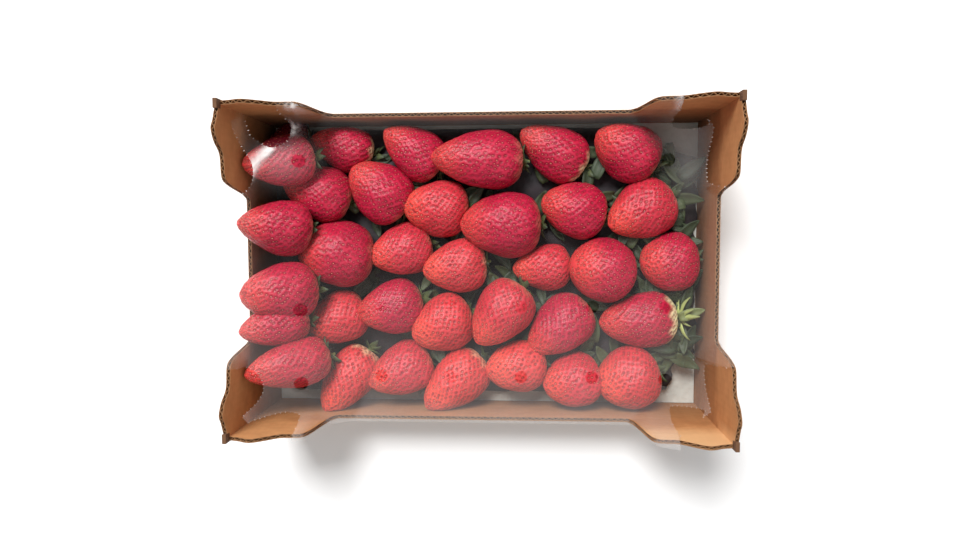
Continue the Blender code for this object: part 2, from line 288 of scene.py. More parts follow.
print("tall corners stand", max(height for _, height in END_WALL_EAR), "mm high")

# %% [markdown]
# ## Corrugated card
# Corrugated board is two flat papers with a waved one glued between them. Modelling a wall as one
# thick slab would lose its cut edge, so each wall is made of its three papers: a grid for each flat
# one, cut along the top to the wall's outline, and a narrow waved sheet between them, with one wave
# for every flute. Each paper is a thin closed sheet. The cut edges get a darker finish than the faces.

# %% Card finishes
FLUTE_PITCH = 4.2 * MM
PAPER = 0.35 * MM
FOLD, WALL_ROWS = 2 * MM, 7
UV_UNIT = 100 * MM


def kraft(name, pale, dark, bump, painted_light_and_shade=False):
    """Uncoated brown paper: long soft fibres lie in it, and the flutes show through as faint ridges."""
    made, tree = new_material(name)
    place = add_node(tree, "TexCoord")
    where = place.outputs["Object"]
    stretched = add_node(tree, "Mapping", {"Vector": where, "Scale": (1, 1, 1.6)})
    # Fibre clouds of about 3 mm, and flecks of about 0.6 mm, drawn coarse enough to show
    clouds = add_node(tree, "TexNoise", {"Vector": stretched, "Scale": 1 / (9 * MM), "Detail": 6.0})
    flecks = add_node(tree, "TexNoise", {"Vector": where, "Scale": 1 / (0.9 * MM)})
    # A Wave texture repeats every 2 pi / 20 units
    ridge_scale = 2 * math.pi / 20 / (FLUTE_PITCH / UV_UNIT)
    ridges = add_node(tree, "TexWave", {"Vector": place.outputs["UV"], "Scale": ridge_scale,
                                        "Distortion": 0.6, "Detail": 1.0})
    soft = add_node(tree, "Math", {0: clouds, 1: 1.2}, operation="MULTIPLY")
    lifted = add_node(tree, "Math", {0: soft, 1: -0.1}, operation="ADD", use_clamp=True)
    base = add_node(tree, "Mix", {"Factor": lifted, MIX_A: dark, MIX_B: pale}, data_type="RGBA")
    fleck_share = add_node(tree, "Math", {0: flecks, 1: 0.22}, operation="MULTIPLY")
    ridge_share = add_node(tree, "Math", {0: ridges, 1: 0.10}, operation="MULTIPLY")
    tints = [(fleck_share, dark), (ridge_share, dark)]
    if painted_light_and_shade:
        # Painted shade: the inside is darker below about 60 mm high, and darker still towards the floor,
        # less so towards the near wall, which faces the lamp
        spread = add_node(tree, "SeparateXYZ", {"Vector": where})
        wavy = add_node(tree, "Math", {0: clouds, 1: 6 * MM, 2: spread.outputs["Z"]},
                        operation="MULTIPLY_ADD")
        below = add_node(tree, "MapRange", {"Value": wavy, "From Min": 66 * MM, "From Max": 58 * MM})
        less_shade_near = add_node(tree, "MapRange", {"Value": spread.outputs["Y"], "From Min": -50 * MM,
                                               "From Max": -90 * MM, "To Min": 0.5, "To Max": 0.28})
        shade_low_share = add_node(tree, "Math", {0: below, 1: less_shade_near}, operation="MULTIPLY")
        deep_shade = add_node(tree, "MapRange", {"Value": wavy, "From Min": 48 * MM, "From Max": 15 * MM})
        deep_shade_share = add_node(tree, "Math", {0: deep_shade, 1: less_shade_near}, operation="MULTIPLY")
        # Painted light: the near wall's inside, which faces the lamp, is paler along its top, most of all at
        # the right
        lit_top = add_node(tree, "MapRange", {"Value": wavy, "From Min": 64 * MM, "From Max": 80 * MM})
        near = add_node(tree, "MapRange", {"Value": spread.outputs["Y"], "From Min": -90 * MM,
                                           "From Max": -97 * MM, "To Max": 0.6})
        right = add_node(tree, "MapRange", {"Value": spread.outputs["X"], "From Min": -100 * MM,
                                            "From Max": 100 * MM, "To Min": 0.1})
        near_right = add_node(tree, "Math", {0: near, 1: right}, operation="MULTIPLY")
        lit_top_share = add_node(tree, "Math", {0: lit_top, 1: near_right}, operation="MULTIPLY")
        tints += [(shade_low_share, "#7E4A22"), (deep_shade_share, "#4A2A20"), (lit_top_share, "#E9C08C")]
    for share, tint in tints:
        base = add_node(tree, "Mix", {"Factor": share, MIX_A: base, MIX_B: tint}, data_type="RGBA")
    relief = add_node(tree, "Bump", {"Height": ridges, "Strength": bump, "Distance": 0.15 * MM})
    shader = add_node(tree, "BsdfPrincipled", {"Base Color": base, "Roughness": 0.88, "Normal": relief})
    add_node(tree, "OutputMaterial", {"Surface": shader})
    return made


kraft_face = kraft("kraft linerboard", "#C69868", "#AE7E52", 0.3)
kraft_inside = kraft("kraft linerboard inside", "#CF955E", "#AC7646", 0.2, painted_light_and_shade=True)
kraft_lug = kraft("stacking lug card", "#7A563A", "#553823", 0.1)
kraft_cut = kraft("cut edge of corrugated board", "#A37852", "#76502F", 0.1)
print("card finishes:", [made.name for made in (kraft_face, kraft_inside, kraft_lug, kraft_cut)])

# %% Walls of the tray


def paper_sheet(name, columns, rows, shape, finishes, thick):
    """A grid of paper. shape takes each point's two shares, from 0 to 1, and gives its place and its UV."""
    sheet = grid(name, columns, rows)
    flat = points_of(sheet)
    across, up = (flat[:, 0] + 1) / 2, (flat[:, 1] + 1) / 2
    places, along, height = shape(across, up)
    put_points(sheet, places)
    corners = np.empty(len(sheet.data.loops), np.int32)
    sheet.data.loops.foreach_get("vertex_index", corners)
    texture = np.stack([along / UV_UNIT, height / UV_UNIT], axis=1)[corners]
    sheet.data.uv_layers[0].data.foreach_set("uv", texture.ravel())
    for finish_of in finishes:
        sheet.data.materials.append(finish_of)
    thicken(sheet, thick, offset=0.0, rim_slot=len(finishes) - 1)
    return sheet


def lean(height):
    """The tall corners lean outwards a little, pushed by the fruit."""
    return LEAN * smooth_step(LEAN_FROM, LEAN_TO, height)


def wall_paper(kind, side, depth, columns, rows, wave, finishes):
    """One of a wall's papers, at a depth under the wall's outside. wave is how far it swings to and fro."""
    long_wall = kind == "long"
    half = TRAY_LENGTH / 2 - TUCK if long_wall else TRAY_WIDTH / 2 + END_WALL_PROUD
    ear, rim = (LONG_WALL_EAR, LONG_RIM) if long_wall else (END_WALL_EAR, END_RIM)
    outside = (TRAY_WIDTH if long_wall else TRAY_LENGTH) / 2

    def shape(across, up):
        along = (2 * across - 1) * half
        from_corner = half - np.abs(along) - (0 if long_wall else END_WALL_PROUD)
        # The lowest row is folded under; the rest share the height above it
        top = wall_top(from_corner, ear, rim)
        height = np.maximum(FOLD + (up * WALL_ROWS - 1) / (WALL_ROWS - 1) * (top - FOLD), 0)
        height = np.where(up < 0.5 / WALL_ROWS, 0 if wave == 0 else 0.85 * FOLD, height)
        folded = np.maximum(FOLD - height, 0) * 0.6
        into = depth + wave * np.sin(2 * math.pi * along / FLUTE_PITCH) + folded * (depth < BOARD / 2)
        reach = side * (outside - into + lean(height))
        flat = [along, reach, height] if long_wall else [reach, along, height]
        return np.stack(flat, axis=1), along, height

    return paper_sheet(f"{kind} wall paper", columns, rows, shape, finishes, PAPER)


def tray_wall(kind, side):
    both = [kraft_face, kraft_cut]
    columns = 200 if kind == "long" else 160
    outer = wall_paper(kind, side, PAPER / 2, columns, WALL_ROWS, 0, both)
    inner = wall_paper(kind, side, BOARD - PAPER / 2, columns, WALL_ROWS, 0, [kraft_inside, kraft_cut])
    middle = BOARD / 2
    swing = BOARD / 2 - 1.5 * PAPER
    length = TRAY_LENGTH if kind == "long" else TRAY_WIDTH
    waved = wall_paper(kind, side, middle, int(length / FLUTE_PITCH * 7), WALL_ROWS, swing, [kraft_cut])
    return [outer, inner, waved]


card = [paper for kind in ("long", "end") for side in (-1, 1) for paper in tray_wall(kind, side)]
print("papers in the four walls:", len(card))

# %% Lugs and floor of the tray


def box(name, low, high, finishes, edge=0.3 * MM):
    """A block between two corners with softened edges."""
    bpy.ops.object.select_all(action="DESELECT")
    middle = [(a + b) / 2 for a, b in zip(low, high)]
    bpy.ops.mesh.primitive_cube_add(size=1, location=middle, scale=[b - a for a, b in zip(low, high)])
    made = bpy.context.object
    made.name = name
    bpy.ops.object.transform_apply(location=True, rotation=True, scale=True)
    with edit_mode(made):
        bpy.ops.mesh.bevel(offset=edge, segments=2)
    for finish_of in finishes:
        made.data.materials.append(finish_of)
    return made


for side_x in (-1, 1):
    for side_y in (-1, 1):
        shift = lean(0.5 * (LUG_LOW + LUG_TOP))
        across = sorted(side_x * (TRAY_LENGTH / 2 + shift - part) for part in (BOARD, 0))
        along = sorted(side_y * (TRAY_WIDTH / 2 + part) for part in (-LUG_REACH, LUG_PROUD))
        low, high = zip(across, along, (LUG_LOW, LUG_TOP))
        card.append(box("stacking lug", low, high, [kraft_lug]))
half_x, half_y = TRAY_LENGTH / 2 - FLOOR_INSET, TRAY_WIDTH / 2 - FLOOR_INSET
card.append(box("tray floor", (-half_x, -half_y, 0), (half_x, half_y, FLOOR), [kraft_face], FLOOR_EDGE))
tray = join(card, "corrugated_tray")
finish(tray, "kraft_card", "tray")

# %% [markdown]
# ## Liner
# A thin pale liner lies on the floor. It shows at the two right-hand corners and in a strip along the
# near wall. It is a sheet of soft paper wadding: a grid with a slow unevenness in it, thickened, with a
# quilted bump in its finish that gives the eye a soft dull white.

# %% Liner
LINER_BASE, LINER_THICK = FLOOR + 0.4 * MM, 1.2 * MM
LINER_HALF = (TRAY_LENGTH / 2 - BOARD - 0.4 * MM, TRAY_WIDTH / 2 - BOARD - 0.4 * MM)
LINER_SWELL = 0.25 * MM

liner = grid("liner_sheet", 90, 60)
flat = points_of(liner)
x, y = flat[:, 0] * LINER_HALF[0], flat[:, 1] * LINER_HALF[1]
rise = LINER_SWELL * (1 + ripple(x, y, 22 * MM, 3).clip(-1, 1))
put_points(liner, np.stack([x, y, LINER_BASE + rise], axis=1))
quilted, tree = new_material("paper wadding")
where = add_node(tree, "TexCoord").outputs["Object"]
cells = add_node(tree, "TexVoronoi", {"Vector": where, "Scale": 1 / (4 * MM)})
stains = add_node(tree, "TexNoise", {"Vector": where, "Scale": 1 / (18 * MM), "Detail": 4.0})
tone = add_node(tree, "Mix", {"Factor": stains, MIX_A: "#DCDAD0", MIX_B: "#80827C"}, data_type="RGBA")
quilt = add_node(tree, "Bump", {"Height": cells.outputs["Distance"], "Strength": 0.8, "Distance": 0.5 * MM})
shader = add_node(tree, "BsdfPrincipled", {"Base Color": tone, "Roughness": 0.75, "Normal": quilt})
add_node(tree, "OutputMaterial", {"Surface": shader})
liner.data.materials.append(quilted)
thicken(liner, LINER_THICK - 2 * LINER_SWELL)
finish(liner, "liner_paper", "liner")

# %% [markdown]
# ## Strawberries
# Each strawberry is a ball drawn out to a blunt cone. Its row gives the middle, length, width, the way
# the tip points, how much it rises, how high it lies and how strongly it narrows. A strawberry with
# two lobes takes two rows, and the last row lies deep in the far left corner. The skin is pitted:
# every seed sits in a small hollow. The seeds follow the spiral that plants use, a golden angle apart,
# so a formula places them, and the same places are pressed into the skin. One ball is modelled and
# copied, and each copy's points are moved by its own berry's measures.

# %% Measures of the strawberries
BERRIES = [
    (-126.5, 69, 49, 31, 190, 36, 29, 0.34),
    (-93.5, 80, 46, 30, 165, 22, 0, 0.30),
    (-45, 77.5, 48, 34, 145, 18, 0, 0.34),
    (0, 71, 65, 37, 178, 12, 7, 0.30),
    (48.5, 76.5, 53, 33, 150, 16, 1, 0.36),
    (96, 76, 48, 38, 150, 16, 0, 0.26),
    (-109, 50, 49, 37, 160, 24, 3, 0.30),
    (-68, 51, 49, 38, 140, 20, 0, 0.26),
    (-29.5, 39, 47, 37, 175, 18, 0, 0.24),
    (14.5, 28, 57, 44, 180, 12, 1, 0.24),
    (62, 38, 47, 37, 166, 18, 0, 0.24),
    (106, 37, 51, 37, 205, 18, 0, 0.32),
    (-129.5, 27, 50, 34, 172, 37, 29, 0.38),
    (-96.5, 9, 54, 46, 175, 20, 0, 0.12),
    (-54, 11, 46, 34, 195, 22, 0, 0.28),
    (-17, 0, 46, 34, 188, 20, 3, 0.30),
    (41.5, -1, 42, 31, 182, 14, 0, 0.30),
    (80.5, -2, 46, 44, 170, 25, 0, 0.10),
    (125, 3, 41, 38, 180, 18, 0, 0.16),
    (-127.5, -15, 53, 37, 182, 36, 28, 0.24),
    (-131, -36.5, 48, 28, 188, 35, 32, 0.26),
    (-99.5, -36, 48, 35, 202, 24, 0, 0.28),
    (-61, -28, 48, 35, 190, 22, 2, 0.30),
    (-26, -39, 46, 38, 203, 22, 0, 0.22),
    (13.5, -31, 52, 38, 230, 16, 4, 0.28),
    (53, -40, 53, 36, 218, 16, 0, 0.28),
    (106, -36, 56, 35, 183, 10, 2, 0.26),
    (-122.5, -62, 60, 31, 189, 37, 28, 0.34),
    (-91.5, -77, 55, 34, 235, 22, 0, 0.26),
    (-55, -71, 49, 34, 202, 22, 0, 0.30),
    (-17.5, -78.5, 55, 34, 220, 18, 0, 0.30),
    (24, -68, 44, 36, 185, 20, 0, 0.18),
    (61.5, -77, 42, 37, 190, 18, 0, 0.20),
    (99, -75, 45, 41, 196, 18, 0, 0.14),
    (-131, 84, 34, 27, 195, 8, 0, 0.25),
]
CAPPED = 26
PALE_SHOULDERS = {1: 0.75, 4: 0.8, 26: 1.0, 28: 0.6, 30: 0.4, 15: 0.35}
ORANGE_BERRIES = {8: 0.5, 11: 0.35, 14: 0.4, 15: 0.6, 16: 0.5, 21: 0.6, 23: 0.7, 24: 0.5, 27: 0.25,
                  28: 0.8, 29: 0.5, 30: 0.9, 31: 0.9, 32: 0.5, 33: 0.6}
SHOULDER_SQUASH = 0.12
REST = LINER_BASE + LINER_THICK + 0.4 * MM
PRESSED_AT = np.array([TRAY_LENGTH / 2, TRAY_WIDTH / 2]) - BOARD - 0.3 * MM
PRESSED_BELOW = LONG_RIM - 3 * MM
GOLDEN_ANGLE = math.pi * (3 - math.sqrt(5))
SEED_SPACING = 3.0 * MM
PIT_WIDE, PIT_DEEP, PIT_BRIM = 1.05 * MM, 0.82 * MM, 0.12 * MM
# How far down its pit a seed's middle lies, as a share of the pit's depth
SEED_SUNK = 0.62
BERRY_AROUND, BERRY_ALONG = 120, 90
TOP_SHARE = 0.5
print("rows for strawberries:", len(BERRIES))


def skin(ways, row, number):
    """Places on a berry's skin for unit directions, with the tip along +X."""
    long, wide, taper = row[2] * MM, row[3] * MM, row[7]
    lump = 1.7 * number
    tipward = ways[:, 0]
    swing = np.arctan2(ways[:, 2], ways[:, 1])
    uneven = 1 + 0.035 * (np.cos(2 * swing + lump) + 0.6 * np.cos(3 * swing + 2.3 * lump) * tipward)
    uneven += 0.012 * np.sin(5 * swing + 4 * tipward + lump) + 0.01 * np.sin(9 * tipward + 2 * swing + lump)
    around = wide / 2 * (1 - taper * tipward) * uneven
    along = long / 2 * tipward * np.where(tipward < 0, 1 - SHOULDER_SQUASH * tipward ** 2, 1)
    along += 2.2 * MM * smooth_step(-0.90, -1.0, tipward)
    return np.stack([along, around * ways[:, 1], around * ways[:, 2]], axis=1)


def outward(places, row):
    """Directions that stand off the skin, as on an egg of the berry's length and width."""
    steep = places / np.array([row[2], row[3], row[3]]) ** 2
    return steep / np.linalg.norm(steep, axis=1, keepdims=True)


def seed_ways(row, number):
    """Directions of a berry's seeds, in a slightly uneven spiral from shoulder to tip."""
    area = math.pi * row[2] * row[3] * 0.86 * MM * MM
    count = int(area / (0.87 * SEED_SPACING ** 2))
    draw = np.random.default_rng(number)
    share = (np.arange(count) + 0.5) / count
    tipward = (1 - 2 * share) * 0.985 + draw.uniform(-0.012, 0.012, count)
    ring = np.sqrt(1 - tipward ** 2)
    astray = draw.uniform(-0.32, 0.32, count) * SEED_SPACING / (row[3] / 2 * MM * ring + MM)
    swing = GOLDEN_ANGLE * np.arange(count) + astray
    return np.stack([tipward, ring * np.cos(swing), ring * np.sin(swing)], axis=1)


def turned(row):
    """The turn that lays a berry down, as a 3 by 3 array."""
    heading = Matrix.Rotation(math.radians(row[4]), 3, "Z")
    return np.array(heading @ Matrix.Rotation(-math.radians(row[5]), 3, "Y"))


# %% [markdown]
# ## Skin of a ripe strawberry
# The skin is a deep cool red with a soft shine, warmer where less ripe, and pale at the shoulder under
# the cap. Light and shade are painted into it as well: a lighter red on the ridges between the pits as
# painted highlight, a dark red in the pits as painted shade, a warm tip that is partly a painted
# highlight, and a wine red as painted shade on the fruit in the far left corner. Painting it needs to
# know where on the berry a point is, so each berry's points carry three numbers: paleness, warmth
# with the tip's painted highlight, and how deep they lie in a pit.

# %% Strawberry skin


def strawberry_skin():
    made, tree = new_material("ripe strawberry skin")
    marks = add_node(tree, "Attribute", attribute_name="ripeness_and_light")
    parts = add_node(tree, "SeparateColor", {"Color": marks.outputs["Color"]})
    where = add_node(tree, "TexCoord").outputs["Object"]
    blotches = add_node(tree, "TexNoise", {"Vector": where, "Scale": 1 / (16 * MM), "Detail": 3.0})
    grain = add_node(tree, "TexNoise", {"Vector": where, "Scale": 1 / (0.6 * MM), "Detail": 2.0})
    base = add_node(tree, "Mix", {"Factor": blotches, MIX_A: "#960A32", MIX_B: "#BA143E"}, data_type="RGBA")
    warmth_and_tip_light, paleness, pit = parts.outputs["Green"], parts.outputs["Red"], parts.outputs["Blue"]
    # Painted highlight and shade: the net of ridges between the pits is painted a lighter red, the pits a
    # darker red
    ridge_highlight = add_node(tree, "MapRange", {"Value": pit, "From Min": 0.22, "From Max": 0.04, "To Max": 0.25})
    pit_shade = add_node(tree, "MapRange", {"Value": pit, "From Min": 0.15, "From Max": 0.8, "To Max": 0.8})
    # Painted shade: the fruit in the far left corner, in the walls' shade where the film is open above it,
    # is painted nearly wine red
    axes = add_node(tree, "SeparateXYZ", {"Vector": where})
    far = add_node(tree, "MapRange", {"Value": axes.outputs["Y"], "From Min": 72 * MM, "From Max": 78 * MM})
    left = add_node(tree, "MapRange", {"Value": axes.outputs["X"], "From Min": -108 * MM,
                                       "From Max": -118 * MM, "To Max": 0.9})
    corner = add_node(tree, "Math", {0: far, 1: left}, operation="MULTIPLY")
    for share, tint in [(warmth_and_tip_light, "#EA5444"), (ridge_highlight, "#E03A54"), (paleness, "#EFE3B0"),
                        (pit_shade, "#6C0820"), (corner, "#4A0616")]:
        base = add_node(tree, "Mix", {"Factor": share, MIX_A: base, MIX_B: tint}, data_type="RGBA")
    fine = add_node(tree, "Bump", {"Height": grain, "Strength": 0.8, "Distance": 0.35 * MM})
    shader = add_node(tree, "BsdfPrincipled", {
        "Base Color": base, "Roughness": 0.3, "IOR": 1.4, "Specular IOR Level": 0.5,
        "Subsurface Weight": 0.1, "Subsurface Scale": 2 * MM, "Normal": fine})
    shader.inputs["Subsurface Radius"].default_value = (1.0, 0.25, 0.15)
    add_node(tree, "OutputMaterial", {"Surface": shader})
    return made


# %% Ball that every berry is copied from
bpy.ops.object.select_all(action="DESELECT")
bpy.ops.mesh.primitive_uv_sphere_add(segments=BERRY_AROUND, ring_count=BERRY_ALONG, radius=1)
ball = bpy.context.object
ball.name = "ball"
bpy.ops.object.shade_smooth()
upright = points_of(ball)
# More of the points go to the upper side, which shows
around = np.arctan2(upright[:, 1], upright[:, 0])
around -= TOP_SHARE * np.sin(around)
ring = np.hypot(upright[:, 0], upright[:, 1])
ball_ways = np.stack([upright[:, 2], -ring * np.sin(around), ring * np.cos(around)], axis=1)
ball_ways /= np.linalg.norm(ball_ways, axis=1, keepdims=True)
ball.data.materials.append(strawberry_skin())


def inside_walls(points):
    """Fruit that presses on a wall is flattened against it. Above the rims nothing holds it in."""
    held = points.copy()
    low = points[:, 2] < PRESSED_BELOW
    held[low, :2] = np.clip(points[low, :2], -PRESSED_AT, PRESSED_AT)
    return held


def shape_berry(number, row):
    """A berry where it lies, with its seeds' places and outward directions, its tip's way and its crest."""
    seeds = skin(seed_ways(row, number), row, number)
    seed_out = outward(seeds, row)
    places = skin(ball_ways, row, number)
    nearest = np.full(len(places), np.inf)
    depth = np.ones(len(places))
    for seed, seed_depth in zip(seeds, np.random.default_rng(number).uniform(0.6, 1.15, len(seeds))):
        away = ((places - seed) ** 2).sum(axis=1)
        depth = np.where(away < nearest, seed_depth, depth)
        nearest = np.minimum(nearest, away)
    pit = depth * np.exp(-nearest / PIT_WIDE ** 2)
    pitted = places + outward(places, row) * (PIT_BRIM - PIT_DEEP * pit)[:, None]
    turn = turned(row)
    world = pitted @ turn.T
    lift = REST + row[6] * MM - world[:, 2].min()
    middle = np.array([row[0] * MM, row[1] * MM, lift])
    seed_places = (seeds - seed_out * (PIT_DEEP * SEED_SUNK)) @ turn.T + middle
    berry = new_object("strawberry", ball.data.copy())
    put_points(berry, inside_walls(world + middle))
    tipward = ball_ways[:, 0]
    ragged = 0.06 * np.sin(9 * np.arctan2(ball_ways[:, 2], ball_ways[:, 1]) + number)
    pale_from = -0.50 if number == CAPPED else -0.62
    pale = PALE_SHOULDERS.get(number, 0.15) * smooth_step(pale_from, pale_from - 0.25, tipward + ragged)
    # Warmer on less ripe berries, and towards every tip, where the warmth is partly a painted highlight, as
    # the tips catch the light
    warm_and_tip_light = 0.7 * ORANGE_BERRIES.get(number, 0.08) + 0.6 * smooth_step(0.2, 1.0, tipward)
    marks = np.stack([pale, warm_and_tip_light, pit, np.ones(len(pit))], axis=1)
    layer = berry.data.color_attributes.new("ripeness_and_light", "FLOAT_COLOR", "POINT")
    layer.data.foreach_set("color", marks.ravel())
    crest = (world + middle)[world[:, 2].argmax()]
    return berry, seed_places, seed_out @ turn.T, turn[:, 0], crest


PER_PIECE = 9
berries, seed_lists, crests = [], [], []
for number, row in enumerate(BERRIES):
    berry, seed_places, seed_out, tip_way, crest = shape_berry(number, row)
    berries.append(berry)
    crests.append(crest)
    # Seeds on the underside never show, so they are left out
    shown = seed_out[:, 2] > -0.2
    seed_lists.append((seed_places[shown], seed_out[shown], np.tile(tip_way, (shown.sum(), 1))))
bpy.data.objects.remove(ball)
# Four pieces of at most nine berries each stay below 200,000 triangles
for place in range(0, len(berries), PER_PIECE):
    share = berries[place:place + PER_PIECE]
    finish(join(share, f"strawberries_{place // PER_PIECE + 1}"), "strawberry_skin", "strawberries")

# %% [markdown]
# ## Seeds
# A large ripe strawberry carries several hundred seeds, each a flat teardrop little more than a
# millimetre long. One small solid of eight faces is repeated at every seed's place, into one mesh,
# each lying along its berry and set into its pit. The husk is dry and dull, and its colour runs from
# straw to reddish brown, so each seed carries its own shade.

# %% Seeds
SEED_HALF = (0.60 * MM, 0.36 * MM, 0.34 * MM)

seed_tips = [(1.15, 0, 0), (-0.85, 0, 0), (0, 1, 0), (0, -1, 0), (0, 0, 1), (0, 0, -1)]
seed_points = np.array(seed_tips) * SEED_HALF
upper_faces = [(0, 2, 4), (2, 1, 4), (1, 3, 4), (3, 0, 4)]
seed_faces = np.array(upper_faces + [(second, first, 5) for first, second, _ in upper_faces])

middles = inside_walls(np.concatenate([places for places, _, _ in seed_lists]))
ups = np.concatenate([out for _, out, _ in seed_lists])
alongs = np.concatenate([way for _, _, way in seed_lists])
sides = np.cross(ups, alongs)
sides /= np.linalg.norm(sides, axis=1, keepdims=True)
fronts = np.cross(sides, ups)
axes = np.stack([fronts, sides, ups], axis=1)
all_points = middles[:, None, :] + np.einsum("pk,nkc->npc", seed_points, axes)
all_faces = seed_faces[None] + (np.arange(len(middles)) * len(seed_points))[:, None, None]
seed_mesh = bpy.data.meshes.new("strawberry_seeds")
seed_mesh.from_pydata(all_points.reshape(-1, 3).tolist(), [], all_faces.reshape(-1, 3).tolist())
shades = np.random.default_rng(11).random(len(middles)).repeat(len(seed_points))
mark_points(seed_mesh, "seed_shade", shades)
seeds = new_object("strawberry_seeds", seed_mesh)
straw, tree = new_material("strawberry seed husk")
shade = add_node(tree, "Attribute", attribute_name="seed_shade").outputs["Fac"]
husk = add_node(tree, "Mix", {"Factor": shade, MIX_A: "#F0A080", MIX_B: "#A83236"}, data_type="RGBA")
shader = add_node(tree, "BsdfPrincipled", {"Base Color": husk, "Roughness": 0.5, "IOR": 1.4})
add_node(tree, "OutputMaterial", {"Surface": shader})
seed_mesh.materials.append(straw)
seed_mesh.shade_smooth()
finish(seeds, "strawberry_skin", "strawberries")

# %% [markdown]
# ## Green caps
# Each berry keeps its cap: a ring of pointed leaves and a bit of stalk. Only one shows whole. The
# others lie between the berries, where green glimpses show in the gaps. One leaf is modelled from a
# grid, thickened, then copied and turned about each berry's axis. Its green is painted dark with
# darker mottling, as painted shade for leaves deep in the gaps. It runs to a pale yellow-green by a
# number each leaf carries: high on the one whole cap, partly as a young calyx and partly as painted
# light, and low on the hidden caps and the loose leaves.

# %% Caps
LEAF_LENGTH, LEAF_WIDTH, LEAF_THICK = 17 * MM, 7.5 * MM, 0.35 * MM
LEAF_HIGH = np.append(PRESSED_AT, 90 * MM)
LEAF_LOW = np.append(-PRESSED_AT, REST)
# The leaves of a cap: how many and how slim, for the one that shows whole and for the others
FULL_CAP, HIDDEN_CAP = (11, 0.5), (8, 1.0)
STALK_LONG, STALK_SHORT = 15 * MM, 7 * MM

leaf = grid("leaf", 8, 4)
flat = points_of(leaf)
along, across = (flat[:, 0] + 1) / 2, flat[:, 1]
half_wide = LEAF_WIDTH / 2 * np.sin(np.pi * np.minimum(0.22 + 0.76 * along, 1.0)) ** 0.8
curl = 0.30 * LEAF_LENGTH * along ** 2 + 0.05 * LEAF_LENGTH * np.sin(6 * along)
folded_up = curl + 0.35 * half_wide * np.abs(across)
put_points(leaf, np.stack([along * LEAF_LENGTH, across * half_wide, folded_up], axis=1))
thicken(leaf, LEAF_THICK, offset=0.0)
only(leaf)
bpy.ops.object.shade_smooth()

green, tree = new_material("strawberry cap leaf")
where = add_node(tree, "TexCoord").outputs["Object"]
mottle = add_node(tree, "TexNoise", {"Vector": where, "Scale": 1 / (5 * MM), "Detail": 4.0})
leaf_pale_and_lit = add_node(tree, "Attribute", attribute_name="freshness_and_light").outputs["Fac"]
# Painted shade: the leaf greens are dark, for leaves that lie deep in the gaps; a high number makes a leaf
# pale yellow-green
leaf_green = add_node(tree, "Mix", {"Factor": mottle, MIX_A: "#141E13", MIX_B: "#33452D"}, data_type="RGBA")
leaf_green = add_node(tree, "Mix", {"Factor": leaf_pale_and_lit, MIX_A: leaf_green, MIX_B: "#C9D27E"}, data_type="RGBA")
shader = add_node(tree, "BsdfPrincipled", {"Base Color": leaf_green, "Roughness": 0.6})
add_node(tree, "OutputMaterial", {"Surface": shader})
leaf.data.materials.append(green)


def leaf_copy(placed, pale_at_base, pale_at_tip):
    """One more leaf, placed by a matrix."""
    copy = new_object("cap leaf", leaf.data.copy())
    outwards = points_of(copy)[:, 0] / LEAF_LENGTH
    mark_points(copy.data, "freshness_and_light", pale_at_base + (pale_at_tip - pale_at_base) * outwards)
    copy.data.transform(placed)
    # A leaf that would reach into a wall or the liner lies beside it
    places = points_of(copy)
    too_low = np.maximum(LEAF_LOW - places.min(axis=0), 0)
    too_high = np.minimum(LEAF_HIGH - places.max(axis=0), 0)
    put_points(copy, places + too_low + too_high)
    return copy


def make_cap(number, row, middle, draw):
    """The leaves and stalk on a berry's shoulder."""
    full = number == CAPPED
    leaves, slim = FULL_CAP if full else HIDDEN_CAP
    stalk_length = STALK_LONG if full else STALK_SHORT
    turn = Matrix([list(line) for line in turned(row)]).to_4x4()
    shoulder = -row[2] / 2 * MM * (1 - SHOULDER_SQUASH) + 1.2 * MM
    base = Matrix.Translation(middle) @ turn @ Matrix.Translation((shoulder, 0, 0))
    pieces = []
    for place in range(leaves):
        around = Matrix.Rotation(2 * math.pi * (place + draw.uniform(-0.25, 0.25)) / leaves, 4, "X")
        opening = draw.uniform(40, 88) if full else draw.uniform(60, 110)
        size = draw.uniform(0.7, 1.1) * (1.0 if full else 0.7)
        open_out = Matrix.Rotation(-math.radians(180 - opening), 4, "Y")
        placed = base @ around @ open_out @ Matrix.Diagonal((size, size * slim, size, 1))
        # The whole cap is pale, partly as a young calyx and partly as painted light; the hidden caps stay
        # dark as painted shade
        pieces.append(leaf_copy(placed, 1.0 if full else 0.3, 0.35 if full else 0.0))
    bpy.ops.object.select_all(action="DESELECT")
    bpy.ops.mesh.primitive_cone_add(vertices=12, radius1=1.7 * MM, radius2=1.0 * MM, depth=stalk_length)
    stalk = bpy.context.object
    stalk.data.materials.append(green)
    mark_points(stalk.data, "freshness_and_light", np.full(len(stalk.data.vertices), 0.8 if full else 0.3))
    drop = Matrix.Translation((-6 * MM if full else -2 * MM, 0, 0)) @ Matrix.Rotation(-math.pi / 2, 4, "Y")
    stalk.data.transform(base @ drop)
    return pieces + [stalk]


draw = random.Random(4)
cap_pieces = []
for number, row in enumerate(BERRIES):
    ways = skin(ball_ways, row, number) @ turned(row).T
    middle = Vector((row[0] * MM, row[1] * MM, REST + row[6] * MM - ways[:, 2].min()))
    cap_pieces += make_cap(number, row, middle, draw)

# %% [markdown]
# Leaves also lie loose on the fill, most of them along the right-hand wall, where no fruit covers them.

# %% Loose leaves
LOOSE_LEAVES, LEAVES_AT_RIGHT = 230, 90
# Lowest and highest X and Y, in millimetres
AT_RIGHT, ANYWHERE = (112, 138, -84, 70), (-110, 125, -80, 84)

